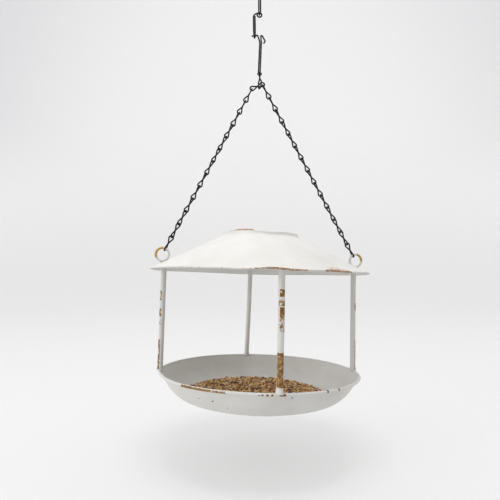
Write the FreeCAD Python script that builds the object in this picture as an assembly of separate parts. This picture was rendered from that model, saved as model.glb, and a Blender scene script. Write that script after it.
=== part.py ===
import FreeCAD, Part
import math
import os

# Hanging bird feeder: a spun steel roof and tray joined by four rods, hung by two rings,
# one length of jack chain, a long wire hook and an S-hook from a closed wire loop.
#
# Frame: Z is up and the whole thing hangs at rest. X runs from the left ring to the right
# ring, Y runs to the back. Every height below is measured from the plane that the tray rim
# lies in, and save() lowers each piece so that the origin ends at the hanging point.

V = FreeCAD.Vector
X_AXIS = V(1, 0, 0)
Y_AXIS = V(0, 1, 0)
Z_AXIS = V(0, 0, 1)

# Driving dimensions, in millimetres and degrees.
sheet = 1.0                 # thickness of the spun sheet
seat_gap = 0.2              # film of paint or weld left between seated pieces
running_gap = 0.2           # play between two wires that hook together

tray_bead_radius = 118.0    # middle of the rolled rim wire
tray_bead_wire = 4.0
bead_overhang = 1.5         # the side of the bowl meets the rim wire this far inside its middle
tray_depth = 33.0
tray_floor_radius = 76.0
# The side of the bowl between rim and floor: share of the way in, share of the way down,
# and the direction of the sheet's thickness there.
bowl_side = [(0.067, 0.181, 0.95, 0.30), (0.262, 0.558, 0.70, 0.70), (0.568, 0.871, 0.35, 0.95)]

roof_overhang = 13.5        # the roof reaches this far past the tray's rim wire
roof_rim_height = 116.8
roof_hem = 1.9              # thickness of the folded edge
roof_offset = -2.9          # the roof was welded on this far from the tray's axis
crown_base_radius = 48.5
crown_base_height = 159.0
crown_taper = 1.9           # how far the collar of the crown leans in
crown_rise = 6.2
crown_round = 1.6

post_diameter = 6.5
back_post_lean = 2.8        # sideways run of the back post from foot to head

ring_wire = 2.9
ring_radius = 7.7           # middle of the ring wire
ring_outset = 2.5           # the rings stand this far outside the posts
ring_foot_diameter = 3.6

heap_margin = 10.0          # the seed lies this far up the side of the bowl
heap_height = 9.6
heap_offset = -3.5
mound_spacing = 22.0        # low mounds on the heap, from handfuls dropped in
mound_height = 1.9
mound_width = 16.0

hang_tilt = 1.45            # the right side hangs lower by this angle
balance_height = 53.0       # centre of gravity of the loaded feeder

chain_wire = 1.8
chain_pitch = 17.544
left_slack = 0.08           # each left link sits this much further down than its pitch
right_slack = -0.08
loop_radius = 2.7           # middle of the wire at the end of a link
neck_diameter = 2.1
left_links = 13
right_links = 14
middle_link_slope = 24.0
left_twist = [76, 58, 42, 28, 22, 24, 34, 44, 40, 28, 16, 8, 4]         # upwards from the ring
right_twist = [12, 28, 42, 52, 50, 46, 44, 46, 44, 48, 56, 66, 76, 88]  # down to the ring

hook_wire = 1.9
hook_bend = 1.2             # middle of the wire in the hook's small bends
strand_half = 1.0           # half the spacing of the doubled strands
twist_radius = 1.05         # corners of the strands where they turn round each other
twist_length = 10.0
eye_half_width = 4.1
eye_turn = 105.0            # how far the strands turn from the shank to the eye
long_hook_length = 67.7     # bottom of the eye to the middle of the crooks
shank_drop = 8.2            # the straight shank starts this far below the crooks
shank_lift = 21.5           # and ends this far above the bottom of the eye
shank_top_x = 1.1
shank_bottom_x = -0.6
wrap_wire = 1.0
wrap_turns = 1.1
wrap_pitch = 1.25
wrap_drop = 2.8             # middle of the binding below the end of the shank
# The crooks, outwards from the shank: distance across and height over the crooks' middle.
left_crook = [(-0.55, -4.6), (-2.7, 1.5), (-4.4, 1.5), (-5.3, 0), (-10.4, 0)]
right_crook = [(1.4, 1.4), (3.15, 1.4), (7.1, -5.4), (5.1, -8.6)]

s_eye_x = -6.8
s_eye_radius = 2.4
s_eye_neck = 5.5            # the strands meet this far above the middle of the eye
s_shank_x = -7.1
s_shoulder_bend = 5.0
s_curl_radius = 2.9
s_curl_drop = 0.7           # curl centre below the wire that carries it
s_curl_shift = -0.3
s_curl_tip = 172.0          # direction in which the curl ends, seen from its centre
s_curl_leave = 475.0        # direction in which it runs out into the shank
s_strand_end = 2.2          # the short strand ends this far below the middle of the curl
s_hook_rise = 29.45         # crooks of the long hook to the lower bend of the top loop
top_link_half_width = 3.55
top_link_straight = 18.3
top_link_turn = 9.3

right_angle = 90.0
full_turn = 360.0

# What follows from them.
tray_rim_radius = tray_bead_radius - bead_overhang
roof_rim_radius = tray_bead_radius + roof_overhang
roof_edge = roof_rim_radius - roof_hem / 2
roof_slope = (crown_base_height - roof_rim_height - roof_hem / 2) / (roof_rim_radius - crown_base_radius)
roof_stretch = math.hypot(1, roof_slope)        # length along the cone over length across it
crown_radius = crown_base_radius - crown_taper
crown_height = crown_base_height + crown_rise
sheet_drop = sheet * roof_stretch
post_circle = tray_bead_radius
ring_reach = post_circle + ring_outset
heap_radius = tray_floor_radius + heap_margin

os.makedirs("parts", exist_ok=True)


def roof_top(radius):
    """Height of the upper face of the cone at a radius."""
    return crown_base_height - roof_slope * (radius - crown_base_radius)


# The nearer ring stands on the cone.
ring_height = (roof_top(ring_reach + roof_offset)
               + (ring_radius + ring_wire / 2 + seat_gap) * roof_stretch)


def save(name, shape):
    """Lower a shape to the hanging frame and write it."""
    placed = shape.copy()
    placed.translate(V(0, 0, -hang_height))
    placed.exportStep("parts/" + name + ".step")


def rod(start, end, diameter):
    """Round bar between two points."""
    run = end - start
    return Part.makeCylinder(diameter / 2, run.Length, start, run)


def bent_wire(corners, bend, diameter):
    """Round wire that runs straight between corners and turns each of them on an arc."""
    edges = []
    start = corners[0]
    for i in range(1, len(corners) - 1):
        back = corners[i - 1] - corners[i]
        ahead = corners[i + 1] - corners[i]
        half = back.getAngle(ahead) / 2
        setback = min(bend / math.tan(half), 0.49 * min(back.Length, ahead.Length))
        back.normalize()
        ahead.normalize()
        inward = (back + ahead).normalize()
        enter = corners[i] + back * setback
        leave = corners[i] + ahead * setback
        crest = corners[i] + inward * (setback / math.cos(half) - setback * math.tan(half))
        edges.append(Part.makeLine(start, enter))
        edges.append(Part.Arc(enter, crest, leave).toShape())
        start = leave
    edges.append(Part.makeLine(start, corners[-1]))
    section = Part.Wire([Part.makeCircle(diameter / 2, corners[0], corners[1] - corners[0])])
    return Part.Wire(edges).makePipeShell([section], True, False)


def round_corners(first, last, count):
    """Directions, in degrees, of the corners that wrap an arc in count equal bends."""
    step = (last - first) / count
    return [first + step * (i + 0.5) for i in range(count)]


def half_ring(radius, wire, centre, start, axis):
    """Half a torus that begins at direction start and turns about axis."""
    path_start = centre + start * radius
    section = Part.Face(Part.Wire([Part.makeCircle(wire / 2, path_start, axis.cross(start))]))
    return section.revolve(centre, axis, full_turn / 2)


def revolved(points):
    """Solid of revolution of a closed outline given as radius and height."""
    outline = Part.makePolygon([V(r, 0, z) for r, z in points + points[:1]])
    return Part.Face(outline).revolve(V(0, 0, 0), Z_AXIS, full_turn)


# Roof.

def make_roof():
    """Shallow cone with a folded edge and a low flat crown."""
    turn = crown_round * (1 - math.sqrt(0.5))
    outer = [V(0, 0, crown_height), V(crown_radius - crown_round, 0, crown_height)]
    corner = V(crown_radius - turn, 0, crown_height - turn)
    side = V(crown_radius, 0, crown_height - crown_round)
    base = V(crown_base_radius, 0, crown_base_height)
    rim = V(roof_edge, 0, roof_top(roof_edge))
    rim_under = V(roof_edge, 0, roof_top(roof_edge) - sheet_drop)
    base_under = V(crown_base_radius - sheet, 0, crown_base_height - sheet / 2)
    crown_under = V(crown_radius - crown_round, 0, crown_height - sheet)
    centre_under = V(0, 0, crown_height - sheet)
    edges = [
        Part.makeLine(outer[0], outer[1]),
        Part.Arc(outer[1], corner, side).toShape(),
        Part.makeLine(side, base),
        Part.makeLine(base, rim),
        Part.makeLine(rim, rim_under),
        Part.makeLine(rim_under, base_under),
        Part.makeLine(base_under, crown_under),
        Part.makeLine(crown_under, centre_under),
        Part.makeLine(centre_under, outer[0]),
    ]
    skin = Part.Face(Part.Wire(edges)).revolve(V(0, 0, 0), Z_AXIS, full_turn)
    hem_height = roof_top(roof_edge) - sheet_drop / 2
    hem = Part.makeTorus(roof_edge, roof_hem / 2, V(0, 0, hem_height), Z_AXIS)
    roof = skin.fuse(hem).removeSplitter()
    roof.translate(V(roof_offset, 0, 0))
    return roof


# Tray.

bead_centre = V(0, 0, -tray_bead_wire / 2)


def tray_curve(inset):
    """Side of the bowl from rim to floor, moved inwards by inset."""
    width = tray_rim_radius - tray_floor_radius
    depth = tray_depth + bead_centre.z
    points = [V(tray_rim_radius - inset, 0, bead_centre.z)]
    for across, down, normal_x, normal_z in bowl_side:
        points.append(V(tray_rim_radius - across * width - normal_x * inset, 0,
                        bead_centre.z - down * depth + normal_z * inset))
    points.append(V(tray_floor_radius, 0, -tray_depth + inset))
    curve = Part.BSplineCurve()
    curve.interpolate(points, InitialTangent=V(-0.12, 0, -1), FinalTangent=V(-1, 0, 0))
    return curve.toShape()


def make_tray():
    """Round dish with a flat floor and a rolled rim wire."""
    outer = tray_curve(0)
    inner = tray_curve(sheet)
    floor_out = V(tray_floor_radius, 0, -tray_depth)
    floor_in = V(tray_floor_radius, 0, -tray_depth + sheet)
    top_out = V(tray_rim_radius, 0, bead_centre.z)
    top_in = V(tray_rim_radius - sheet, 0, bead_centre.z)
    edges = [
        outer,
        Part.makeLine(floor_out, V(0, 0, -tray_depth)),
        Part.makeLine(V(0, 0, -tray_depth), V(0, 0, -tray_depth + sheet)),
        Part.makeLine(V(0, 0, -tray_depth + sheet), floor_in),
        inner,
        Part.makeLine(top_in, top_out),
    ]
    bowl = Part.Face(Part.Wire(Part.sortEdges(edges)[0])).revolve(V(0, 0, 0), Z_AXIS, full_turn)
    bead = Part.makeTorus(tray_bead_radius, tray_bead_wire / 2, bead_centre, Z_AXIS)
    return bowl.fuse(bead).removeSplitter()


# Posts.

def make_post(angle, lean):
    """Rod from the rim wire to the underside of the roof, its head moved sideways by lean."""
    foot = V(post_circle, 0, bead_centre.z)
    head = V(post_circle, lean, roof_top(post_circle + roof_offset))
    bar = rod(foot, foot + (head - foot) * 1.05, post_diameter)
    bar.rotate(V(0, 0, 0), Z_AXIS, angle)
    rim_wire = Part.makeTorus(tray_bead_radius, tray_bead_wire / 2 + seat_gap, bead_centre, Z_AXIS)
    below_rim = Part.makeCylinder(2 * post_circle, tray_bead_wire, V(0, 0, -tray_bead_wire), Z_AXIS)
    lower = sheet_drop + seat_gap
    above_roof = revolved([
        (crown_base_radius, roof_top(crown_base_radius) - lower),
        (roof_rim_radius, roof_top(roof_rim_radius) - lower),
        (roof_rim_radius, crown_height),
        (crown_base_radius, crown_height),
    ])
    above_roof.translate(V(roof_offset, 0, 0))
    return bar.cut([rim_wire, below_rim, above_roof])


# Rings.

def make_ring(side):
    """Upright ring on a short weld that stands on the roof."""
    centre = V(side * ring_reach, 0, ring_height)
    ring = Part.makeTorus(ring_radius, ring_wire / 2, centre, Y_AXIS)
    ring_bottom = ring_height - ring_radius
    foot_depth = ring_bottom - roof_top(ring_reach - roof_offset) + ring_foot_diameter
    foot = Part.makeCylinder(ring_foot_diameter / 2, foot_depth,
                             V(side * ring_reach, 0, ring_bottom - foot_depth), Z_AXIS)
    below_roof = revolved([
        (crown_base_radius, roof_top(crown_base_radius) + seat_gap),
        (roof_rim_radius, roof_top(roof_rim_radius) + seat_gap),
        (roof_rim_radius, 0),
        (crown_base_radius, 0),
    ])
    below_roof.translate(V(roof_offset, 0, 0))
    return ring.fuse(foot.cut(below_roof))


# Seed.

def make_heap():
    """Low mound of seed lying on the tray floor, with smaller mounds on it."""
    floor = -tray_depth + sheet + seat_gap
    edge_lift = heap_height / 3
    crest_points = [
        V(heap_radius, 0, floor + edge_lift),
        V(0.93 * heap_radius, 0, floor + 0.62 * heap_height),
        V(0.62 * heap_radius, 0, floor + 0.87 * heap_height),
        V(0, 0, floor + heap_height),
    ]
    crest = Part.BSplineCurve()
    crest.interpolate(crest_points, InitialTangent=V(-0.7, 0, 0.7), FinalTangent=V(-1, 0, 0))
    middle = V(0, 0, floor)
    floor_edge = V(tray_floor_radius + 2 * heap_offset, 0, floor)
    edges = [
        Part.makeLine(middle, floor_edge),
        Part.makeLine(floor_edge, crest_points[0]),
        crest.toShape(),
        Part.makeLine(crest_points[-1], middle),
    ]
    heap = Part.Face(Part.Wire(edges)).revolve(V(0, 0, 0), Z_AXIS, full_turn)
    ball_radius = (mound_width ** 2 / 4 + mound_height ** 2) / (2 * mound_height)
    mounds = []
    for ring in range(4):
        reach = ring * mound_spacing
        height = crest.value(crest.parameter(V(reach, 0, floor + heap_height))).z
        count = max(1, 6 * ring)
        for i in range(count):
            angle = math.radians(full_turn * i / count)
            centre = V(reach * math.cos(angle), reach * math.sin(angle),
                       height + mound_height - ball_radius)
            cap = Part.makeSphere(ball_radius, centre)
            mounds.append(cap.common(Part.makeCylinder(mound_width, 2 * mound_height,
                          V(centre.x, centre.y, height - mound_height), Z_AXIS)))
    heap = heap.fuse(mounds)
    heap.translate(V(heap_offset, 0, 0))
    return heap


def hang(shape):
    """Tilt a feeder piece and put the feeder's balance point under the hooks."""
    shift = -balance_height * math.sin(math.radians(hang_tilt))
    shape.rotate(V(0, 0, 0), Y_AXIS, hang_tilt)
    shape.translate(V(shift, 0, 0))
    return shape


def hung_point(x, z):
    """Where a point of the feeder's own frame is once the feeder hangs."""
    tilt = math.radians(hang_tilt)
    shift = -balance_height * math.sin(tilt)
    return V(x * math.cos(tilt) + z * math.sin(tilt) + shift, 0, -x * math.sin(tilt) + z * math.cos(tilt))


# Chain.

wire_step = chain_wire + running_gap        # spacing of two hooked wires
ring_inner_reach = ring_radius - ring_wire / 2 - running_gap - chain_wire / 2


def make_loop(half_length):
    """Teardrop wire loop from the neck at the origin to half_length along X."""
    middle = half_length - loop_radius
    angle = math.asin(loop_radius / middle)
    leg = math.sqrt(middle ** 2 - loop_radius ** 2)
    upper = V(leg * math.cos(angle), 0, leg * math.sin(angle))
    lower = V(upper.x, 0, -upper.z)
    section = Part.Face(Part.Wire([Part.makeCircle(chain_wire / 2, upper, upper)]))
    bend = section.revolve(V(middle, 0, 0), Y_AXIS, full_turn / 2 + 2 * math.degrees(angle))
    return bend.fuse([rod(upper * 0.05, upper, chain_wire), rod(lower * 0.05, lower, chain_wire)])


def make_link(turn):
    """Figure-eight link along X, its far loop turned from the near one."""
    half_length = (chain_pitch + wire_step) / 2
    near = make_loop(half_length)
    far = near.copy()
    near.rotate(V(0, 0, 0), Z_AXIS, full_turn / 2)
    far.rotate(V(0, 0, 0), X_AXIS, turn)
    neck_reach = 1.5
    neck = rod(V(-neck_reach, 0, 0), V(neck_reach, 0, 0), neck_diameter)
    return neck.fuse([near, far])


def circle_meet(a, radius_a, b, radius_b):
    """Upper point at the two distances from two points of the XZ plane."""
    gap = b - a
    along = (radius_a ** 2 - radius_b ** 2 + gap.Length ** 2) / (2 * gap.Length)
    up = math.sqrt(radius_a ** 2 - along ** 2)
    unit = gap * (1 / gap.Length)
    return a + unit * along + V(-unit.z, 0, unit.x) * up


def place_link(link, start, end, twist):
    """Put a link between two pitch points, turned about its own length."""
    run = end - start
    placed = link.copy()
    placed.rotate(V(0, 0, 0), X_AXIS, twist)
    placed.rotate(V(0, 0, 0), Y_AXIS, -math.degrees(math.atan2(run.z, run.x)))
    placed.translate((start + end) * 0.5)
    return placed


# The middle link lies flat in the hook's eye. Each chain pulls through the middle of one of
# its end bends, so the two bend centres are found from the rings and the chain lengths.
left_ring = hung_point(-ring_reach, ring_height)
right_ring = hung_point(ring_reach, ring_height)
end_reach = wire_step / 2 + ring_inner_reach
bend_reach = loop_radius - wire_step / 2
slope = math.radians(middle_link_slope)
middle_direction = V(math.cos(slope), 0, math.sin(slope))
middle_run = middle_direction * (chain_pitch + wire_step - 2 * loop_radius)
left_length = left_links * (chain_pitch + left_slack) + end_reach + bend_reach
right_length = right_links * (chain_pitch + right_slack) + end_reach + bend_reach
left_bend = circle_meet(left_ring, left_length, right_ring - middle_run, right_length)
right_bend = left_bend + middle_run
left_pull = (left_ring - left_bend).normalize()
right_pull = (right_ring - right_bend).normalize()
left_top = left_bend + left_pull * bend_reach
right_top = right_bend + right_pull * bend_reach
left_end = left_ring - left_pull * end_reach
right_end = right_ring - right_pull * end_reach

# Long hook: one wire doubled on itself, with an eye below and two crooks above.

# The lower strand of the middle link rests in the eye, on the plumb line, and every height
# of the hooks above is counted from there.
link_middle = (left_bend + right_bend) * 0.5
strand_slope = slope - math.asin(loop_radius / (middle_run.Length / 2))
strand_height = link_middle.z - link_middle.x * math.tan(strand_slope)
eye_bottom = strand_height - (chain_wire + hook_wire) / 2 - 1.25 * running_gap
crook_height = eye_bottom + long_hook_length
shank_top = crook_height - shank_drop
shank_bottom = eye_bottom + shank_lift
wrap_height = shank_bottom - wrap_drop
top_link_height = crook_height + s_hook_rise
hang_height = top_link_height + 2 * top_link_half_width + top_link_straight - hook_wire / 2


def strand(height, side, turn, spread):
    """Corner of one strand of the long hook, side by side with the other."""
    share = (height - shank_bottom) / (shank_top - shank_bottom)
    centre_x = shank_bottom_x + (shank_top_x - shank_bottom_x) * share
    if height < shank_bottom:
        centre_x = shank_bottom_x * max(0, 1 - (shank_bottom - height) / twist_length)
    angle = math.radians(turn)
    return V(centre_x + side * spread * math.cos(angle), side * spread * math.sin(angle), height)


def make_long_hook():
    """Left crook, down one strand, round the eye, up the other strand and over the right crook."""
    steps = 3
    stations = [(shank_top, 0, strand_half)]
    for i in range(steps + 1):
        stations.append((shank_bottom - twist_length * i / steps, eye_turn * i / steps, twist_radius))
    stations.append((eye_bottom + 2 * eye_half_width, eye_turn, eye_half_width))
    left_side = [V(x, 0, crook_height + z) for x, z in reversed(left_crook)]
    down = [strand(height, -1, turn, spread) for height, turn, spread in stations]
    up = [strand(height, 1, turn, spread) for height, turn, spread in reversed(stations)]
    right_side = [V(x, 0, crook_height + z) for x, z in right_crook]
    angle = math.radians(eye_turn)
    bends = 4
    reach = eye_half_width / math.cos(math.pi / 2 / bends)
    round_eye = []
    for degrees in round_corners(2 * right_angle, full_turn, bends):
        out = reach * math.cos(math.radians(degrees))
        height = eye_bottom + eye_half_width + reach * math.sin(math.radians(degrees))
        round_eye.append(V(out * math.cos(angle), out * math.sin(angle), height))
    return bent_wire(left_side + down + round_eye + up + right_side, hook_bend, hook_wire)


def make_wrap():
    """Short binding wire round the two strands above the eye."""
    count = 10
    step = full_turn * wrap_turns / count
    radius = (twist_radius + (hook_wire + wrap_wire) / 2 + seat_gap) / math.cos(math.radians(step / 2))
    centre_x = shank_bottom_x * (1 - wrap_drop / twist_length)
    corners = []
    for i in range(count + 1):
        angle = math.radians(step * i)
        height = wrap_height + wrap_pitch * wrap_turns * (i / count - 0.5)
        corners.append(V(centre_x + radius * math.cos(angle), radius * math.sin(angle), height))
    return bent_wire(corners, radius, wrap_wire)


# S-hook: one doubled wire with a curl above and an eye below.

s_curl_height = top_link_height - s_curl_drop
s_eye_height = crook_height + s_eye_radius - hook_wire - 1.25 * running_gap


def make_s_hook():
    """Curl, down the long strand, round the eye and up the short strand beside it."""
    bends = 6
    half_bend = math.radians((s_curl_leave - s_curl_tip) / bends / 2)
    reach = s_curl_radius / math.cos(half_bend)
    start = math.radians(s_curl_tip)
    path = [V(s_curl_shift + s_curl_radius * math.cos(start), 0,
              s_curl_height + s_curl_radius * math.sin(start))]
    for degrees in round_corners(s_curl_tip, s_curl_leave, bends):
        angle = math.radians(degrees)
        path.append(V(s_curl_shift + reach * math.cos(angle), 0, s_curl_height + reach * math.sin(angle)))
    leave = math.radians(s_curl_leave)
    left_x = s_shank_x - strand_half
    run = (s_curl_shift + s_curl_radius * math.cos(leave) - left_x) / math.sin(leave)
    path.append(V(left_x, 0, s_curl_height + s_curl_radius * math.sin(leave) + run * math.cos(leave)))
    neck = s_eye_height + s_eye_neck
    entry = math.degrees(math.acos(s_eye_radius / s_eye_neck))
    eye_half_turn = 2 * right_angle - entry
    eye_bends = 5
    reach = s_eye_radius / math.cos(math.radians(eye_half_turn / eye_bends))
    path.append(V(s_eye_x - strand_half, 0, neck))
    arc = round_corners(right_angle + entry, right_angle + entry + 2 * eye_half_turn, eye_bends)
    for i, degrees in enumerate(arc):
        angle = math.radians(degrees)
        x = s_eye_x - strand_half * (1 - 2 * i / (eye_bends - 1))
        path.append(V(x, reach * math.cos(angle), s_eye_height + reach * math.sin(angle)))
    path.append(V(s_eye_x + strand_half, 0, neck))
    path.append(V(s_shank_x + strand_half, 0, s_curl_height - s_strand_end))
    return bent_wire(path, s_shoulder_bend, hook_wire)


# Top loop.

def make_top_link():
    """Closed long loop that the S-hook hangs from."""
    turn = math.radians(top_link_turn)
    across = V(-math.sin(turn), math.cos(turn), 0)
    axis = V(math.cos(turn), math.sin(turn), 0)
    lower = V(0, 0, top_link_height + top_link_half_width)
    upper = lower + Z_AXIS * top_link_straight
    bottom_bend = half_ring(top_link_half_width, hook_wire, lower, across * -1, axis)
    top_bend = half_ring(top_link_half_width, hook_wire, upper, across, axis)
    near = rod(lower - across * top_link_half_width, upper - across * top_link_half_width, hook_wire)
    far = rod(lower + across * top_link_half_width, upper + across * top_link_half_width, hook_wire)
    return bottom_bend.fuse([top_bend, near, far])


save("top_link", make_top_link())
save("s_hook", make_s_hook())
save("long_hook", make_long_hook())
save("hook_wrap", make_wrap())

link = make_link(right_angle)
for i in range(left_links):
    low = left_end + (left_top - left_end) * (i / left_links)
    high = left_end + (left_top - left_end) * ((i + 1) / left_links)
    save("chain_left_%02d" % (i + 1), place_link(link, low, high, left_twist[i]))
for i in range(right_links):
    high = right_top + (right_end - right_top) * (i / right_links)
    low = right_top + (right_end - right_top) * ((i + 1) / right_links)
    twist = right_twist[i] + right_angle
    save("chain_right_%02d" % (i + 1), place_link(link, high, low, twist))
save("chain_middle", place_link(make_link(0), left_bend, right_bend, 0))

# Feeder.

save("roof", hang(make_roof()))
save("tray", hang(make_tray()))
post_places = [("right", 0, 0), ("back", 1, -back_post_lean), ("left", 2, 0), ("front", 3, 0)]
for name, quarters, lean in post_places:
    save("post_" + name, hang(make_post(quarters * right_angle, lean)))
save("ring_left", hang(make_ring(-1)))
save("ring_right", hang(make_ring(1)))
save("seed_heap", hang(make_heap()))
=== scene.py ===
# %% [markdown]
# # A weathered hanging bird feeder
# The feeder is spun sheet steel under thick white paint: a shallow cone roof and a dished
# tray, joined by four rods and hung from two rings on a thin dark chain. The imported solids
# give every place and motion. Here each painted piece becomes a finer surface with the
# waves, dents, welds and rust that make it look used, and the tray is filled with grain.

# %% Load the frame
import math

import bpy
import numpy as np
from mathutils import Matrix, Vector


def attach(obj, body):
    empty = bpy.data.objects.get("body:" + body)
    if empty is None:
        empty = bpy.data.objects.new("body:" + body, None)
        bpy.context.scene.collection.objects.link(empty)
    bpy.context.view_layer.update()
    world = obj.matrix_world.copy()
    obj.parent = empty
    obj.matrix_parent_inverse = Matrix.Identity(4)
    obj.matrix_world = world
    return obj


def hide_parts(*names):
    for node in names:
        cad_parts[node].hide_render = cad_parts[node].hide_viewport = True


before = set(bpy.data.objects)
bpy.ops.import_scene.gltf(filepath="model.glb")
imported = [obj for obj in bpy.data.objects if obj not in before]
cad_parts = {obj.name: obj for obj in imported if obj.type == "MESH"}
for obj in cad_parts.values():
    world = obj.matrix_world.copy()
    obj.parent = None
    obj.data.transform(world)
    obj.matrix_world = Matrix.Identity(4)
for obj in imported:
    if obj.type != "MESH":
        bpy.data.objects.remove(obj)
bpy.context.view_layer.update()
print("nodes in the frame:", len(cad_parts))

# %% [markdown]
# ## Sizes
# Lengths here are millimetres, because the feeder was drawn in them, and only put_mesh
# turns them into metres. The feeder hangs a little askew, so its pieces are worked out
# upright, with the tray rim at height 0, and hang() then tilts and lowers them.

# %% Sizes of the feeder
MM = 0.001
TILT = math.radians(1.45)
RIM_BELOW_HOOK = 471.104
BALANCE_HEIGHT = 53.0
SHEET = 1.0

ROOF_RIM_RADIUS = 131.5
ROOF_RIM_HEIGHT = 116.8
HEM = 0.95
ROOF_OFFSET = -2.9
CROWN_FOOT = (48.5, 159.0)
CROWN_TOP = (46.6, 165.2)
CROWN_ROUND = 1.6
ROOF_SLOPE = (CROWN_FOOT[1] - ROOF_RIM_HEIGHT - HEM) / (ROOF_RIM_RADIUS - CROWN_FOOT[0])

BEAD_CIRCLE = 118.0
BEAD = 1.6
BEAD_LEVEL = -2.4
TRAY_FLOOR = (76.0, -33.0)
POST_CIRCLE = 118.0
POST_RADIUS = 3.25
RING_CENTRE = (120.5, 135.1)
RING_RADIUS = 7.7
RING_WIRE = 1.45


def hang(points):
    """Turn by the tilt about Y, then move the balance point under the hook and lower."""
    x, y, z = np.moveaxis(np.asarray(points, float), -1, 0)
    shift = -BALANCE_HEIGHT * math.sin(TILT)
    across = x * math.cos(TILT) + z * math.sin(TILT) + shift
    up = -x * math.sin(TILT) + z * math.cos(TILT) - RIM_BELOW_HOOK
    return np.stack([across, y, up], -1)


print("tray rim centre in the frame, mm:", hang([0, 0, 0]).round(2))

# %% [markdown]
# ## Surfaces as grids
# Every new piece is a grid of points: rows run along the piece and columns run round it.
# One helper turns a grid into faces. Rows either close into a ring or end in a pole point
# at each end, so each surface is sealed. The points are whole arrays, with no loop over
# vertices, and the faces point outwards because every caller keeps to one order.

# %% Grids to meshes
def grid_faces(rows, columns, ring=False):
    """Quads between neighbouring rows and columns; columns close on themselves."""
    row = np.arange(rows if ring else rows - 1)[:, None]
    column = np.arange(columns)[None, :]
    next_row = (row + 1) % rows
    next_column = (column + 1) % columns
    corners = [row * columns + column, next_row * columns + column,
               next_row * columns + next_column, row * columns + next_column]
    return np.stack(corners, -1).reshape(-1, 4)


def cap_faces(first, columns, pole, outwards):
    """Triangles from one row of the grid to a pole point."""
    here = first + np.arange(columns)
    after = first + (np.arange(columns) + 1) % columns
    poles = np.full(columns, pole)
    order = [poles, here, after] if outwards else [poles, after, here]
    return np.stack(order, -1)


def mesh_object(name, points, faces):
    """Smooth-shaded object at the origin, from points in millimetres and lists of corners."""
    mesh = bpy.data.meshes.new(name)
    mesh.from_pydata((points * MM).tolist(), [], [list(map(int, face)) for face in faces])
    mesh.polygons.foreach_set("use_smooth", np.ones(len(mesh.polygons), bool))
    mesh.update()
    made = bpy.data.objects.new(name, mesh)
    bpy.context.scene.collection.objects.link(made)
    return made


def put_mesh(name, points, faces, body, replaced=()):
    """Piece of the feeder: rides on a body and stands for CAD nodes."""
    piece = mesh_object(name, points, faces)
    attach(piece, body)
    if replaced:
        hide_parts(*replaced)
    return piece


def closed_faces(rows, columns):
    """Faces of a grid, and caps to two pole points that follow the grid's own points."""
    last = (rows - 1) * columns
    return [*grid_faces(rows, columns), *cap_faces(0, columns, rows * columns, True),
            *cap_faces(last, columns, rows * columns + 1, False)]


def skin(name, grid, replaced=(), ends=None):
    """Hung surface from an upright grid: closed by two poles, or into a ring without them."""
    rows, columns = grid.shape[:2]
    points = hang(grid.reshape(-1, 3))
    if ends is None:
        faces = grid_faces(rows, columns, ring=True)
    else:
        points = np.vstack([points, hang(ends)])
        faces = closed_faces(rows, columns)
    piece = put_mesh(name, points, faces, "feeder", replaced)
    print(name, len(points), "points,", len(faces), "faces")
    return piece


# %% [markdown]
# ## Small tools for outlines
# A spun piece is an outline turned about the axis. Outlines are put together from straight
# legs, arcs and one smooth curve. Nothing spun by hand is perfectly round, so a wave that
# repeats over the full turn lifts and drops the edges.

# %% Outlines and waves
def leg(start, end, steps):
    """Evenly spaced points from start up to, but not at, end."""
    t = np.arange(steps)[:, None] / steps
    return np.asarray(start) * (1 - t) + np.asarray(end) * t


def arc(centre, radius, start, end, steps):
    """Points on a circle from one direction to another, in degrees."""
    angle = np.radians(np.linspace(start, end, steps))
    return np.asarray(centre) + radius * np.stack([np.cos(angle), np.sin(angle)], -1)


def smooth_curve(points, steps):
    """Curve through the points: each span is a cubic whose end slopes follow its neighbours."""
    points = np.asarray(points, float)
    slopes = np.gradient(points, axis=0)
    t = (np.arange(steps) / steps)[None, :, None]
    start, end = points[:-1, None], points[1:, None]
    slope_start, slope_end = slopes[:-1, None], slopes[1:, None]
    cubic = (start * (2 * t ** 3 - 3 * t ** 2 + 1) + slope_start * (t ** 3 - 2 * t ** 2 + t)
             + end * (3 * t ** 2 - 2 * t ** 3) + slope_end * (t ** 3 - t ** 2))
    return np.vstack([cubic.reshape(-1, 2), points[-1:]])


def ramp(value, low, high):
    """0 below low, 1 above high and a smooth S between them."""
    t = np.clip((value - low) / (high - low), 0, 1)
    return t * t * (3 - 2 * t)


def round_wave(bearing, wave):
    """Periodic wave: an S-shaped step from each of its heights to the next round the turn."""
    places = np.array(list(wave), float)
    heights = np.array(list(wave.values()), float)
    turns = np.append(places, places[0] + 360)
    values = np.append(heights, heights[0])
    wrapped = (bearing - places[0]) % 360 + places[0]
    span = np.clip(np.searchsorted(turns, wrapped, side="right") - 1, 0, len(places) - 1)
    t = ramp(wrapped, turns[span], turns[span + 1])
    return values[span] * (1 - t) + values[span + 1] * t


def dents(x, y, seed, depth, size, count=7):
    """Sum of a few long sine waves in random directions, for sheet that isn't quite true."""
    draw = np.random.default_rng(seed)
    total = np.zeros_like(x)
    for direction, phase in draw.uniform(0, 2 * math.pi, (count, 2)):
        length = size * draw.uniform(0.6, 1.6)
        run = x * math.cos(direction) + y * math.sin(direction)
        total = total + np.sin(2 * math.pi * run / length + phase)
    return total * depth / count


def spun(outline, columns):
    """Grid of an outline (radius, height) turned about the axis, with bearings in degrees.

    A column at bearing b stands at x = r sin b, y = -r cos b, so bearing 0 is the front.
    """
    bearing = np.arange(columns) * 360 / columns
    turn = np.radians(bearing)[None, :]
    radius, height = outline[:, :1], outline[:, 1:]
    level = height + 0 * turn
    return np.stack([radius * np.sin(turn), -radius * np.cos(turn), level], -1), bearing


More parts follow.
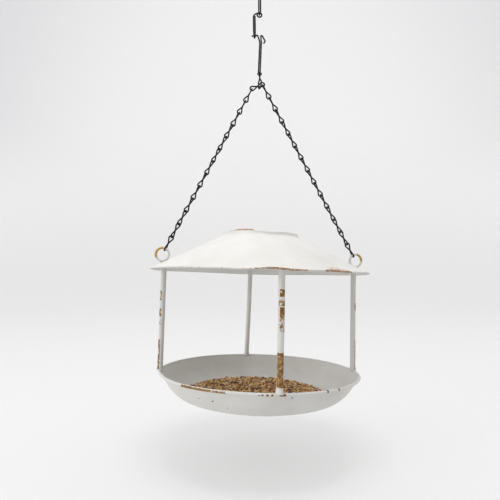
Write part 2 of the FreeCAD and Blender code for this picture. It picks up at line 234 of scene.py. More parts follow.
# %% [markdown]
# ## The roof
# The roof is one sheet: a flat crown, a short collar, a long cone and an edge folded back on
# itself. Modifiers could thicken a cone, but the folded edge and the wavy lip are easier to
# place when the outline runs over the top, round the fold and back underneath.

# %% Roof
ROOF_COLUMNS = 384
ROOF_RIM_WAVE = {-150: 0.3, -110: -0.3, -80: 0.2, -51: 0.2, -29: -0.4, -16: -1.0, -4: 0.4,
                 7: -0.8, 27: -0.2, 34: -0.7, 60: 0.1, 90: -0.2, 130: 0.5, 170: -0.4}
CROWN_LIP_WAVE = {-140: -0.3, -90: -0.5, -65: -0.9, -42: 0.0, -25: 0.0, -12: -1.5, 5: -2.6,
                  35: -1.7, 55: -1.5, 95: -0.6, 150: 0.2}


def roof_top(radius):
    """Height of the upper face of the cone at a radius."""
    return CROWN_FOOT[1] - ROOF_SLOPE * (radius - CROWN_FOOT[0])


def roof_outline():
    """Crown, collar, cone and fold above, then the same line one sheet lower."""
    drop = SHEET * math.hypot(1, ROOF_SLOPE)
    edge = ROOF_RIM_RADIUS - HEM
    slope_angle = math.degrees(math.atan(ROOF_SLOPE))
    crown_edge = (CROWN_TOP[0] - CROWN_ROUND, CROWN_TOP[1])
    hem_centre = (edge, roof_top(edge) - drop / 2)
    cone_start = (CROWN_FOOT[0] + 1.2, roof_top(CROWN_FOOT[0] + 1.2))
    collar_top = (CROWN_TOP[0] + 0.25, CROWN_TOP[1] - 2.6)
    collar_foot = (CROWN_FOOT[0] - 0.35, CROWN_FOOT[1] + 0.8)
    collar_inside = (CROWN_FOOT[0] - SHEET, CROWN_FOOT[1] - SHEET / 2)
    return np.vstack([
        leg((2.0, CROWN_TOP[1]), crown_edge, 22),
        arc((crown_edge[0], CROWN_TOP[1] - CROWN_ROUND), CROWN_ROUND, 90, 0, 7),
        leg(collar_top, collar_foot, 4),
        leg((CROWN_FOOT[0] + 0.1, CROWN_FOOT[1] + 0.05), cone_start, 2),
        leg(cone_start, (edge - 1.5, roof_top(edge - 1.5)), 46),
        arc(hem_centre, HEM, 90 - slope_angle, -90 - slope_angle, 9),
        leg((edge - 1.5, roof_top(edge - 1.5) - drop), collar_inside, 46),
        leg(collar_inside, (crown_edge[0], CROWN_TOP[1] - SHEET), 4),
        leg((crown_edge[0], CROWN_TOP[1] - SHEET), (0.5, CROWN_TOP[1] - SHEET), 20),
    ])


def roof_grid():
    """Spun roof: height plus a wave at the rim, a wave at the crown's lip and dents between."""
    grid, bearing = spun(roof_outline(), ROOF_COLUMNS)
    x, y, z = np.moveaxis(grid, -1, 0)
    radius = np.hypot(x, y)
    rim = round_wave(bearing, ROOF_RIM_WAVE)
    lip = round_wave(bearing, CROWN_LIP_WAVE)
    z = z + rim[None, :] * ramp(radius, 96, 130)
    z = z + lip[None, :] * ramp(radius, 18, 43) * (1 - ramp(radius, 46.8, 50))
    z = z + dents(x, y, 5, 0.9, 90) * ramp(radius, 50, 80) * (1 - ramp(radius, 118, 131))
    return np.stack([x + ROOF_OFFSET, y, z], -1)


roof_ends = [[ROOF_OFFSET, 0, CROWN_TOP[1]], [ROOF_OFFSET, 0, CROWN_TOP[1] - SHEET]]
roof = skin("painted_roof", roof_grid(), ["roof"], roof_ends)

# %% [markdown]
# ## The tray
# A dish with a flat floor, a side that curves up and a rolled rim wire. The outline starts at
# the middle of the floor inside, climbs the side, goes round the bead and comes back below.

# %% Tray
TRAY_COLUMNS = 384
BOWL_EDGE = BEAD_CIRCLE - 1.5
TRAY_RIM_WAVE = {-160: 0.3, -120: -0.2, -85: 0.3, -50: -0.2, -20: 0.2, 5: 0.0, 35: -0.3,
                 65: 0.3, 95: -0.2, 140: 0.2}


def bowl_side(inset):
    """Smooth curve down the bowl's side from rim to floor, moved inwards by inset."""
    return smooth_curve([
        (BOWL_EDGE - inset, BEAD_LEVEL),
        (BOWL_EDGE - 2.7 - 0.95 * inset, -7.6 + 0.3 * inset),
        (BOWL_EDGE - 10.6 - 0.7 * inset, -19.3 + 0.7 * inset),
        (BOWL_EDGE - 23.0 - 0.35 * inset, -29.0 + 0.95 * inset),
        (TRAY_FLOOR[0], TRAY_FLOOR[1] + inset)], 9)


def tray_grid():
    """Spun dish: height plus a wave at the rim and dents on the side."""
    inside = bowl_side(SHEET)[::-1]
    outside = bowl_side(0)
    outline = np.vstack([
        leg((2.0, inside[0, 1]), inside[0], 18),
        inside[:-2],
        arc((BEAD_CIRCLE, BEAD_LEVEL), BEAD, 205, -115, 18),
        outside[3:],
        leg((TRAY_FLOOR[0] - 1.5, TRAY_FLOOR[1]), (0.5, TRAY_FLOOR[1]), 18),
    ])
    grid, bearing = spun(outline, TRAY_COLUMNS)
    x, y, z = np.moveaxis(grid, -1, 0)
    radius = np.hypot(x, y)
    z = z + round_wave(bearing, TRAY_RIM_WAVE)[None, :] * ramp(radius, 100, 116)
    z = z + dents(x, y, 9, 0.5, 60) * ramp(radius, 40, 80) * (1 - ramp(radius, 108, 117))
    return np.stack([x, y, z], -1)


tray_ends = [[0, 0, TRAY_FLOOR[1] + SHEET], [0, 0, TRAY_FLOOR[1]]]
tray = skin("painted_tray", tray_grid(), ["tray"], tray_ends)

# %% [markdown]
# ## Posts and their welds
# Each post is a rod that stands on the rim wire and stops under the roof. A weld swells it at
# the foot and at the head, so the outline of the rod widens there, and small lumps on the
# swellings keep it from looking turned on a lathe. The front post stands a little to the
# right of its place and the back post leans, as hand work does.

# %% Posts
POST_FOOT = -1.7
FRONT_POST_SHIFT = 0.9
BACK_POST_LEAN = 2.8


def post_grid(side_x, side_y, lean, seed, shift):
    """Rod about a bowed line: radius plus a bell-shaped weld at each end and low bumps."""
    top = roof_top(POST_CIRCLE - 3) - 1.2
    t = np.concatenate([np.linspace(0, 0.07, 18), np.linspace(0.08, 0.93, 60),
                        np.linspace(0.94, 1, 14)])[:, None]
    turn = np.radians(np.arange(0, 360, 9))[None, :]
    height = POST_FOOT + (top - POST_FOOT) * t
    draw = np.random.default_rng(seed)
    phases = draw.uniform(0, 2 * math.pi, 8)
    lumps = np.sin(3 * turn + phases[0] + height) * np.sin(height * 1.9 + phases[1])
    lumps = lumps + np.sin(5 * turn + phases[2]) * np.sin(height * 2.7 + phases[3])
    foot = np.exp(-((height - POST_FOOT) / 3.0) ** 2)
    head = np.exp(-((height - top) / 1.8) ** 2)
    paint = 0.05 * np.sin(2 * turn + height * 0.21 + phases[4])
    radius = POST_RADIUS + paint + foot * (0.85 + 0.50 * lumps) + head * (0.6 + 0.15 * lumps)
    bow = 0.35 * np.sin(math.pi * t) * math.sin(phases[5]) + lean * t
    x = side_x * POST_CIRCLE + shift + bow + radius * np.cos(turn)
    y = side_y * POST_CIRCLE + radius * np.sin(turn)
    cone = roof_top(np.hypot(x - ROOF_OFFSET, y)) - 1.25
    z = np.minimum(height + 0 * turn, cone)
    head_x = side_x * POST_CIRCLE + shift + lean
    head_top = roof_top(math.hypot(head_x - ROOF_OFFSET, side_y * POST_CIRCLE)) - 1.4
    ends = [[side_x * POST_CIRCLE + shift, side_y * POST_CIRCLE, POST_FOOT],
            [head_x, side_y * POST_CIRCLE, head_top]]
    return np.stack([x, y, z], -1)[::-1], ends[::-1]


posts = {}
post_places = [("right", 1, 0, 0, 0), ("back", 0, 1, BACK_POST_LEAN, 0), ("left", -1, 0, 0, 0),
               ("front", 0, -1, 0, FRONT_POST_SHIFT)]
for seed, (name, side_x, side_y, lean, shift) in enumerate(post_places, 40):
    grid, ends = post_grid(side_x, side_y, lean, seed, shift)
    posts[name] = skin("painted_post_" + name, grid, ["post_" + name], ends)

# %% [markdown]
# ## Rings
# A ring is a bent wire whose ends meet at a weld on the roof. It is a torus with a slightly
# uneven wire, and a lump of weld under it.

# %% Rings
def ring_grid(side, seed):
    """Torus in the XZ plane: a circle of wire carried round a circle, with small waves."""
    around = np.radians(np.arange(0, 360, 3))[:, None]
    section = np.radians(np.arange(0, 360, 18))[None, :]
    draw = np.random.default_rng(seed)
    phase = draw.uniform(0, 2 * math.pi, 3)
    wire = RING_WIRE * (1 + 0.03 * np.sin(4 * around + phase[0]))
    circle = RING_RADIUS + 0.12 * np.sin(2 * around + phase[1])
    reach = circle + wire * np.cos(section)
    x = side * RING_CENTRE[0] + reach * np.cos(around)
    z = RING_CENTRE[1] + reach * np.sin(around)
    y = wire * np.sin(section) + 0 * around
    return np.stack([x, y, z], -1)


def weld_grid(side, seed):
    """Lump of weld: a squat ball between roof and ring, roughened by crossed sines."""
    up = np.radians(np.linspace(-84, 84, 22))[:, None]
    turn = np.radians(np.arange(0, 360, 10))[None, :]
    phase = np.random.default_rng(seed).uniform(0, 2 * math.pi, 4)
    rough = 1 + 0.10 * np.sin(4 * turn + phase[0]) * np.sin(5 * up + phase[1])
    low = roof_top(RING_CENTRE[0] - side * ROOF_OFFSET) - 0.3
    high = RING_CENTRE[1] - RING_RADIUS + 0.4
    middle, half = (low + high) / 2, (high - low) / 2 + 0.5
    x = side * RING_CENTRE[0] + 2.3 * rough * np.cos(up) * np.cos(turn)
    y = 1.9 * rough * np.cos(up) * np.sin(turn)
    z = middle + half * np.sin(up) + 0 * turn
    ends = [[side * RING_CENTRE[0], 0, middle + half], [side * RING_CENTRE[0], 0, middle - half]]
    return np.stack([x, y, z], -1)[::-1], ends


rings = {}
welds = []
for seed, (name, side) in enumerate([("left", -1), ("right", 1)]):
    rings[name] = skin("painted_ring_" + name, ring_grid(side, 60 + seed),
                       ["ring_" + name])
    grid, ends = weld_grid(side, 70 + seed)
    welds.append(skin("ring_weld_" + name, grid, ends=ends))

# %% [markdown]
# ## The bed under the grain
# The feeder is filled with mixed grain: a low heap that was poured in by hand, off centre and
# a little bumpy. One surface could carry it all as a bumpy texture, but its outline would be
# too smooth. So a dark bed gives the form of the heap and fills the gaps between real grains;
# its dark colour is painted shade, the shadow deep between the grains.

# %% Bed of grain
HEAP_RADIUS = 85.5
HEAP_HEIGHT = 8.8
HEAP_OFFSET = -4.4
HEAP_FLOOR = TRAY_FLOOR[1] + SHEET + 0.2
MOUND_SPACING = 22.0
MOUND_HEIGHT = 1.9
MOUND_RADIUS = 8.0
MOUND_RINGS = 4
BED_DEPTH = 1.6
HEAP_CREST = smooth_curve([(0, 1), (0.62, 0.87), (0.93, 0.62), (1, 0.33)], 12)


def mounds(x, y):
    """Handfuls on the heap: round caps, 6 more on each ring about it; the highest counts."""
    height = np.zeros(np.shape(x))
    for ring in range(MOUND_RINGS):
        copies = max(1, 6 * ring)
        for bearing in np.radians(np.arange(copies) * 360 / copies):
            gap = np.hypot(x - ring * MOUND_SPACING * math.cos(bearing),
                           y - ring * MOUND_SPACING * math.sin(bearing))
            cap = MOUND_HEIGHT * (1 - (gap / MOUND_RADIUS) ** 2)
            height = np.maximum(height, cap)
    return height


def heap_height(x, y):
    """Height of the heap over the tray floor: a low crest that falls off, with its mounds."""
    share = np.clip(np.hypot(x, y) / HEAP_RADIUS, 0, 1)
    crest = np.interp(share, HEAP_CREST[:, 0], HEAP_CREST[:, 1]) * HEAP_HEIGHT
    return crest + mounds(x, y)


def tray_level(x, y):
    """Height of the tray's upper side: the flat floor, and the bowl's side beyond it."""
    side = bowl_side(SHEET)[::-1]
    return np.interp(np.hypot(x, y), side[:, 0], side[:, 1])


def bed_grid():
    """Heap's height less the bed's depth over a spun line, closed below along the floor."""
    reach = np.linspace(2, HEAP_RADIUS - 1.5, 60)
    crest = np.stack([reach, 0 * reach], -1)
    below = np.array([[TRAY_FLOOR[0] - 8, 0], [30, 0], [1, 0]])
    grid, bearing = spun(np.vstack([crest, below]), 200)
    x, y, z = np.moveaxis(grid, -1, 0)
    upper = np.arange(len(grid)) < len(crest)
    z = HEAP_FLOOR + (heap_height(x, y) - BED_DEPTH) * upper[:, None]
    x = x + HEAP_OFFSET
    return np.stack([x, y, np.maximum(z, tray_level(x, y) + 0.1)], -1)


bed_ends = [[HEAP_OFFSET, 0, HEAP_FLOOR + HEAP_HEIGHT], [HEAP_OFFSET, 0, HEAP_FLOOR]]
bed = skin("grain_bed", bed_grid(), ["seed_heap"], bed_ends)

# %% [markdown]
# ## Single grains
# Wheat, oats, millet, red sorghum and a few sunflower seeds lie on the bed. Particles could
# scatter them, but arrays keep every grain where the seed of the random numbers puts it. Each
# grain is the same ball of thirty faces, stretched, turned and moved, and it carries its own
# shade as an attribute. A grain that would dip into the sheet of the tray is raised onto it.

# %% Grains
GRAIN_ROWS = 4
GRAIN_COLUMNS = 6


def grain_shape():
    """Unit ball about X: circles whose radius is a cosine of latitude, and its faces."""
    up = np.radians(np.linspace(-90, 90, GRAIN_ROWS + 2)[1:-1])[::-1, None]
    turn = np.radians(np.arange(GRAIN_COLUMNS) * 360 / GRAIN_COLUMNS)[None, :]
    ball = np.stack([np.sin(up) + 0 * turn, np.cos(up) * np.cos(turn),
                     np.cos(up) * np.sin(turn)], -1).reshape(-1, 3)
    points = np.vstack([ball, [[1, 0, 0], [-1, 0, 0]]])
    return points, closed_faces(GRAIN_ROWS, GRAIN_COLUMNS)


def turned(points, yaw, pitch, roll):
    """Points of each grain rolled about X, pitched about Y and then turned about Z."""
    x, y, z = np.moveaxis(points, -1, 0)
    y, z = (y * np.cos(roll) - z * np.sin(roll), y * np.sin(roll) + z * np.cos(roll))
    x, z = (x * np.cos(pitch) + z * np.sin(pitch), -x * np.sin(pitch) + z * np.cos(pitch))
    x, y = (x * np.cos(yaw) - y * np.sin(yaw), x * np.sin(yaw) + y * np.cos(yaw))
    return np.stack([x, y, z], -1)


def scatter_grains(name, count, sizes, seed, lift=0.0, lean=0.35):
    """Grains of one kind over the heap: spread evenly by area, mostly lying down.

    A grain that would dip into the tray is raised until its lowest point lies on it.
    """
    draw = np.random.default_rng(seed)
    radius = (HEAP_RADIUS - 1.0) * np.sqrt(draw.uniform(0, 1, count))
    bearing = draw.uniform(0, 2 * math.pi, count)
    ragged = 1 + 0.02 * np.sin(bearing * 7 + seed) + 0.012 * np.sin(bearing * 17)
    x, y = radius * ragged * np.sin(bearing), -radius * ragged * np.cos(bearing)
    z = HEAP_FLOOR + heap_height(x, y) - 1.5 + lift + draw.uniform(-0.9, 0.9, count)
    scale = np.asarray(sizes) / 2 * draw.uniform(0.82, 1.18, (count, 1))
    ball, ball_faces = grain_shape()
    shapes = ball[None, :, :] * scale[:, None, :]
    shapes[..., 2] += 0.12 * np.abs(shapes[..., 0])
    angles = [draw.uniform(0, 2 * math.pi, (count, 1)), draw.normal(0, lean, (count, 1)),
              draw.uniform(0, 2 * math.pi, (count, 1))]
    centres = np.stack([x + HEAP_OFFSET, y, z], -1)[:, None, :]
    shapes = turned(shapes, *angles) + centres
    sunk = tray_level(shapes[..., 0], shapes[..., 1]) + 0.15 - shapes[..., 2]
    shapes[..., 2] += np.clip(sunk.max(axis=1, keepdims=True), 0, None)
    points = hang(shapes.reshape(-1, 3))
    faces = [face + start for start in np.arange(count) * len(ball) for face in ball_faces]
    piece = put_mesh(name, points, faces, "feeder")
    shade = np.repeat(draw.uniform(0, 1, count), len(ball))
    attribute = piece.data.attributes.new("shade", "FLOAT", "POINT")
    attribute.data.foreach_set("value", shade.astype(np.float32))
    print(name, count, "grains,", len(faces), "faces")
    return piece


grains = {
    "wheat": scatter_grains("wheat_grains", 2000, (6.0, 3.1, 2.6), 101),
    "oat": scatter_grains("oat_grains", 700, (7.4, 2.6, 2.2), 102, 0.3),
    "millet": scatter_grains("millet_grains", 800, (2.6, 2.4, 2.3), 103, 0.5, 1.0),
    "sorghum": scatter_grains("red_grains", 650, (4.4, 3.8, 3.2), 104, 0.2),
    "sunflower": scatter_grains("dark_seeds", 90, (7.5, 4.0, 2.6), 105, 0.4),
}

# %% [markdown]
# ## Shader maths
# Rust and grime are written as arithmetic. A Field wraps one socket, so an expression such as
# 1 - mask adds Math nodes by itself. Colours go through Mix nodes, because a Math node would
# turn them grey, and any other node comes from one method that takes its type, its settings
# and the values or links of its inputs.

# %% Fields and finishes
class Field:
    """One output socket of a finish. Arithmetic on it adds Math nodes."""

    def __init__(self, finish, socket):
        self.finish = finish
        self.socket = socket

    def maths(self, operation, *values):
        return self.finish.node("ShaderNodeMath", {"operation": operation},
                                dict(enumerate(values)))

    def __add__(self, other):
        return self.maths("ADD", self, other)

    def __radd__(self, other):
        return self.maths("ADD", other, self)

    def __sub__(self, other):
        return self.maths("SUBTRACT", self, other)

    def __rsub__(self, other):
        return self.maths("SUBTRACT", other, self)

    def __mul__(self, other):
        return self.maths("MULTIPLY", self, other)

    def __rmul__(self, other):
        return self.maths("MULTIPLY", other, self)

    def __truediv__(self, other):
        return self.maths("DIVIDE", self, other)

    def __abs__(self):
        return self.maths("ABSOLUTE", self)

    def root(self):
        return self.maths("SQRT", self)

    def most(self, other):
        return self.maths("MAXIMUM", self, other)

    def step(self, low, high):
        """0 below low, 1 above high and a smooth S between them."""
        return self.finish.node("ShaderNodeMapRange", {"interpolation_type": "SMOOTHSTEP"},
                                {0: self, 1: low, 2: high, 3: 0.0, 4: 1.0})


class Finish:
    """A material whose nodes are added one call at a time."""

    def __init__(self, name):
        self.material = bpy.data.materials.new(name)
        self.material.use_nodes = True
        self.tree = self.material.node_tree
        self.surface = self.tree.nodes["Principled BSDF"]
        self.place = self.node("ShaderNodeTexCoord", output="Object")
        axes = [self.node("ShaderNodeSeparateXYZ", {}, {0: self.place}, axis) for axis in "XYZ"]
        self.x, self.y, self.z = [axis * (1 / MM) for axis in axes]

    def node(self, kind, settings=None, inputs=None, output=0):
        """Add a node, set it up, fill or link its inputs and return one output."""
        node = self.tree.nodes.new(kind)
        for key, value in (settings or {}).items():
            setattr(node, key, value)
        for key, value in (inputs or {}).items():
            if isinstance(value, Field):
                self.tree.links.new(value.socket, node.inputs[key])
            else:
                node.inputs[key].default_value = value
        return Field(self, node.outputs[output])

    def noise(self, size, detail=3.0, roughness=0.55):
        """Cloudy pattern whose blotches are about size millimetres across."""
        return self.node("ShaderNodeTexNoise", {},
                         {"Vector": self.place, "Scale": 1 / (size * MM),
                          "Detail": detail, "Roughness": roughness})

    def mix(self, share, first, second):
        """First colour where share is 0, second where it is 1."""
        sockets = {0: share, 6: tuple(first) + (1,) if isinstance(first, tuple) else first,
                   7: tuple(second) + (1,) if isinstance(second, tuple) else second}
        return self.node("ShaderNodeMix", {"data_type": "RGBA"}, sockets, 2)

    def bump(self, height, strength, distance):
        """Small relief from a height between 0 and 1, distance in millimetres."""
        return self.node("ShaderNodeBump", {}, {"Height": height, "Strength": strength,
                                                "Distance": distance * MM}, "Normal")

    def feed(self, **sockets):
        """Link fields or set constants on the surface shader."""
        for key, value in sockets.items():
            socket = self.surface.inputs[key.replace("_", " ")]
            if isinstance(value, Field):
                self.tree.links.new(value.socket, socket)
            else:
                socket.default_value = value

    def dress(self, *objects):
        """Give this finish to the objects, in place of what they have."""
        for thing in objects:
            thing.data.materials.clear()
            thing.data.materials.append(self.material)


# %% [markdown]
# ## Places on the feeder, inside a finish
# Rust sits where knocks and water reach: the folded rim, the lip of the crown, weld feet and
# the weather side of the posts. Object coordinates are the hanging frame, so a few helpers
# undo the tilt and give radius, bearing and height as fields.

# %% Places as fields
class Place:
    """Radius, bearing in degrees and height of a point, in the feeder's upright frame."""

    def __init__(self, finish, axis_x=0.0):
        shift = -BALANCE_HEIGHT * math.sin(TILT)
        across = finish.x - shift
        up = finish.z + RIM_BELOW_HOOK
        self.finish = finish
        self.x = across * math.cos(TILT) - up * math.sin(TILT) - axis_x
        self.y = finish.y
        self.z = across * math.sin(TILT) + up * math.cos(TILT)
        self.radius = (self.x * self.x + self.y * self.y).root()
        self.bearing = self.x.maths("ARCTAN2", self.x, self.y * -1) * (180 / math.pi)

    def sector(self, middle, half, soft=3.0):
        """1 within half degrees of a bearing, falling to 0 over soft degrees."""
        return 1 - abs(self.bearing - middle).step(half, half + soft)

    def band(self, field, low, high, soft=1.0):
        """1 where a field is between low and high."""
        return field.step(low - soft, low) * (1 - field.step(high, high + soft))

    def spot(self, x, y, z, size):
        """1 at a point, falling to 0 at size millimetres."""
        dx, dy, dz = self.x - x, self.y - y, self.z - z
        return 1 - ((dx * dx + dy * dy + dz * dz).root() / size).step(0.45, 1.0)


def union(fields):
    """Largest of several fields."""
    total = fields[0]
    for field in fields[1:]:
        total = total.most(field)
    return total


# %% [markdown]
# ## White paint with rust
# The paint is a warm white enamel, a little glossy, with faint clouds, tiny pits and a soft
# relief. A painted image could hold the chips, but a rule is sharp from any distance: where
# a region is worn, a noise decides which bits of paint have gone, so chips have ragged edges.
# Bare steel there runs from dark brown to gold, with a stained halo round each chip.

# %% White paint
PAINT_LIGHT = (0.66, 0.655, 0.63)
PAINT_SHADE = (0.60, 0.592, 0.56)
RUST_DARK = (0.16, 0.074, 0.014)
RUST_GOLD = (0.36, 0.19, 0.052)
RUST_LIGHT = (0.56, 0.38, 0.21)
RUST_BROWN = (0.25, 0.125, 0.035)
RUST_CREAM = (0.68, 0.53, 0.33)
RUST_STAIN = (0.50, 0.33, 0.16)
SPECK_BROWN = (0.33, 0.22, 0.13)


def white_paint(name, worn, flaky=None, chip_size=2.4, axis_x=0.0, tones=(RUST_DARK, RUST_GOLD)):
    """Painted steel; worn(place) gives how much of the paint has gone, from 0 to 1."""
    finish = Finish(name)
    place = Place(finish, axis_x)
    clouds = finish.noise(38, 4)
    pits = finish.noise(1.1, 2)
    relief = finish.noise(7, 3)
    colour = finish.mix(clouds.step(0.30, 0.72), PAINT_SHADE, PAINT_LIGHT)
    region = worn(place)
    chips = (finish.noise(chip_size, 4, roughness=0.65) + region * 0.62 - 1).step(-0.035, 0.02)
    tone = finish.noise(3.4, 4, roughness=0.7)
    rust = finish.mix(tone.step(0.42, 0.66), *tones)
    if flaky is not None:
        flakes = finish.noise(2.6, 4, roughness=0.7).step(0.53, 0.60) * flaky(place)
        rust = finish.mix(flakes, rust, RUST_CREAM)
    halo = (finish.noise(chip_size * 2.6, 3) + region * 0.55 - 1).step(-0.10, 0.06)
    stained = finish.mix(halo * 0.34, colour, RUST_STAIN)
    specks = finish.noise(3.2, 2, roughness=0.4).step(0.755, 0.785)
    stained = finish.mix(specks * 0.6, stained, SPECK_BROWN)
    height = relief * 0.5 + pits * 0.16 - chips * 0.55
    finish.feed(Base_Color=finish.mix(chips, stained, rust),
                Roughness=0.46 + clouds * 0.12 + chips * 0.38,
                Normal=finish.bump(height, 0.35, 0.5))
    return finish


# %% [markdown]
# ## Wear on the roof
# Water hangs on the folded rim and on the lip of the crown, so rust starts there: a thin
# broken line all round, and longer bare stretches where the front of the rim was knocked.

# %% Paint on the roof
def roof_wear(place):
    """A thin worn line round the folded rim, thicker at two knocks, and the crown lip."""
    rim = place.radius
    width = (place.sector(1, 3, 5) * 1.0 + place.sector(29, 6, 4) * 1.8
             + place.finish.noise(9, 2) * 0.8)
    edge = (rim + width).step(ROOF_RIM_RADIUS - 0.3, ROOF_RIM_RADIUS + 0.3)
    front = place.sector(0.5, 10.5, 2.5).most(place.sector(29, 7.5, 2.5)) * 0.93
    faint = 0.34 + place.finish.noise(20, 2) * 0.50
    dots = place.band(rim, 124, 131, 1.5) * place.sector(31, 6, 4) * 0.68
    lip = place.band(rim, 45.0, 47.6, 0.6) * place.band(place.z, 163.6, 167, 0.5)
    return union([edge * front, edge * faint, dots, lip * place.sector(-32, 13, 9) * 0.90,
                  lip * place.sector(-36, 22, 6) * 0.72])


white_paint("roof_paint", roof_wear, chip_size=1.8, axis_x=ROOF_OFFSET,
            tones=(RUST_BROWN, RUST_LIGHT)).dress(roof)
print("worn and painted:", roof.name)

# %% [markdown]
# ## Wear on the tray
# A long scrape runs along the front left of the rim wire, two knocks cross it on the right,
# and a few rusty dots sit by the front post and on the side of the bowl. Each is placed by
# its bearing or its point, so it can be moved without touching the others.

# %% Paint on the tray
RIM_REACH = 119.4
RIM_DOTS = [(-7.4, -2.9, 2.1), (-5.2, -3.1, 2.4), (-3.0, -2.9, 2.1), (-9.0, -2.8, 1.2),
            (1.2, -3.2, 2.9), (2.8, -3.0, 2.6)]
BOWL_SPOTS = [(-60.6, -90.7, -14.5, 1.9), (-74.0, -80.7, -14.0, 1.4), (-45.8, -93.8, -20.5, 1.6),
              (14.4, -113.5, -6.5, 1.4)]


def tray_wear(place):
    """A scraped streak and two knocks on the rim, and a few dots on the rim and the side."""
    outside = place.band(place.radius, 117.4, 121, 0.6) * place.band(place.z, -4.4, -0.4, 0.6)
    scrape = place.band(place.radius, 117.9, 121, 0.5) * place.band(place.z, -3.6, -1.5, 0.5)
    streak = scrape * place.sector(-41.5, 9.0, 1.5).most(place.sector(-28.5, 3.5, 1.5) * 0.86)
    knock = outside * place.sector(26, 0.35, 0.5) * 1.1
    knock_far = outside * place.sector(34, 0.35, 0.5) * 1.1
    spots = [place.spot(RIM_REACH * math.sin(math.radians(bearing)),
                        -RIM_REACH * math.cos(math.radians(bearing)), level, size)
             for bearing, level, size in RIM_DOTS]
    spots += [place.spot(*spot) for spot in BOWL_SPOTS]
    return union([streak, knock, knock_far] + spots)


def tray_flakes(place):
    """Cream flakes at the right end of the scraped streak."""
    return place.sector(-27, 5, 3)


white_paint("tray_paint", tray_wear, tray_flakes).dress(tray)
print("worn and painted:", tray.name)

# %% [markdown]
# ## Wear on the posts
# Each post has lost paint in streaks on the side that faces the weather: low down, where the
# tray stays wet, and at knocks higher up. A streak is a band of heights on the part of the
# rod that faces one way, and the front post keeps cream flakes of primer in its lowest one.

# %% Paint on the posts
LEFT_EDGE = (-0.90, -0.43)
RIGHT_EDGE = (0.80, -0.60)
FRONT_RIGHT = (0.62, -0.78)
FRONT = (0.0, -1.0)


def side_streaks(centre, towards, pieces):
    """Wear on one side of a post; each piece has a low, a high, an amount and a least facing."""
    def worn(place):
        dx, dy = place.x - centre[0], place.y - centre[1]
        facing = (dx * towards[0] + dy * towards[1]) / POST_RADIUS
        regions = [place.band(place.z, low, high, 2.0) * facing.step(reach, reach + 0.35) * amount
                   for low, high, amount, reach in pieces]
        return union(regions)
    return worn


def post_flakes(place):
    """Cream flakes on the lowest streak of the front post."""
    return place.band(place.z, 3, 38, 1) * 0.5


worn_posts = {
    "left": side_streaks((-POST_CIRCLE, 0), LEFT_EDGE,
                         [(1, 34, 0.92, 0.45), (52.5, 56, 0.82, 0.5), (62, 70, 0.85, 0.45),
                          (81, 91, 0.85, 0.45)]),
    "right": side_streaks((POST_CIRCLE, 0), RIGHT_EDGE,
                          [(1, 35, 0.90, 0.62), (73, 81, 0.92, 0.5), (82, 105, 0.70, 0.7)]),
    "back": side_streaks((0, POST_CIRCLE), FRONT, [(1, 3, 0.6, 0.3)]),
    "front": side_streaks((FRONT_POST_SHIFT, -POST_CIRCLE), FRONT_RIGHT,
                          [(91.5, 97.5, 0.95, -0.1), (82.5, 87, 0.90, -0.4),
                           (71.5, 80, 0.95, 0.0), (57, 70, 0.76, -0.1), (5, 37, 1.0, -0.75)]),
}
for name, worn in worn_posts.items():
    flakes = post_flakes if name == "front" else None
    white_paint("post_paint_" + name, worn, flakes, chip_size=2.8).dress(posts[name])
    print("worn and painted:", posts[name].name)

# %% [markdown]
# ## Rings and their welds
# The rings keep their white paint inside and below, and show yellow metal where the chain
# and the weather have rubbed. The rubbed stretch runs between two directions round the ring,
# with a noise that makes its ends ragged. The welds wear the roof's paint, with a few chips.

# %% Rings and welds
RING_SHADE = (0.58, 0.575, 0.54)
RUBBED_DARK = (0.36, 0.19, 0.04)
RUBBED_LIGHT = (0.58, 0.36, 0.10)


def ring_paint(name, side, low, high):
    """White paint, with bright yellow metal between two directions round the ring."""
    finish = Finish(name)
    place = Place(finish)
    dx, dz = place.x - side * RING_CENTRE[0], place.z - RING_CENTRE[1]
    turn = dx.maths("ARCTAN2", dz, dx * side) * (180 / math.pi)
    ragged = turn + (finish.noise(2.5, 3) - 0.5) * 30
    bare = place.band(ragged, low, high, 6.0)
    tone = finish.noise(1.8, 3)
    metal = finish.mix(tone.step(0.35, 0.65), RUBBED_DARK, RUBBED_LIGHT)
    paint = finish.mix(finish.noise(6, 3).step(0.35, 0.7), RING_SHADE, PAINT_LIGHT)
    finish.feed(Base_Color=finish.mix(bare, paint, metal), Metallic=bare * 0.3,
                Roughness=0.42 + tone * 0.2,
                Normal=finish.bump(finish.noise(1.5, 3), 0.3, 0.25))
    return finish


ring_paint("ring_paint_left", -1, -28, 92).dress(rings["left"])
ring_paint("ring_paint_right", 1, -6, 76).dress(rings["right"])
weld_paint = white_paint("weld_paint", lambda place: place.band(place.z, 122, 128, 1.0) * 0.66)
weld_paint.dress(*welds)
print("rings and welds painted:", len(rings) + len(welds))

# %% [markdown]
# ## Dark wire
# The loop, the hooks, the binding and the chain are drawn wire, almost black, with a thin
# brown bloom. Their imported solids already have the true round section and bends, so they
# keep their own meshes and only get a finish.

# %% Dark wire
WIRE_BLACK = (0.008, 0.0075, 0.006)
WIRE_BLOOM = (0.024, 0.019, 0.014)
dark = Finish("dark_wire")
bloom = dark.noise(5, 4)
dark.feed(Base_Color=dark.mix(bloom.step(0.42, 0.68), WIRE_BLACK, WIRE_BLOOM),
          Specular_IOR_Level=0.25, Roughness=0.50 + bloom * 0.22,
          Normal=dark.bump(dark.noise(0.8, 3), 0.35, 0.15))
wire_nodes = [thing for name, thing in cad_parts.items()
              if name.startswith(("chain", "long_hook", "s_hook", "hook_wrap", "top_link"))]
for thing in wire_nodes:
    for slot in thing.material_slots:
        slot.material = dark.material
print("wire pieces:", len(wire_nodes))
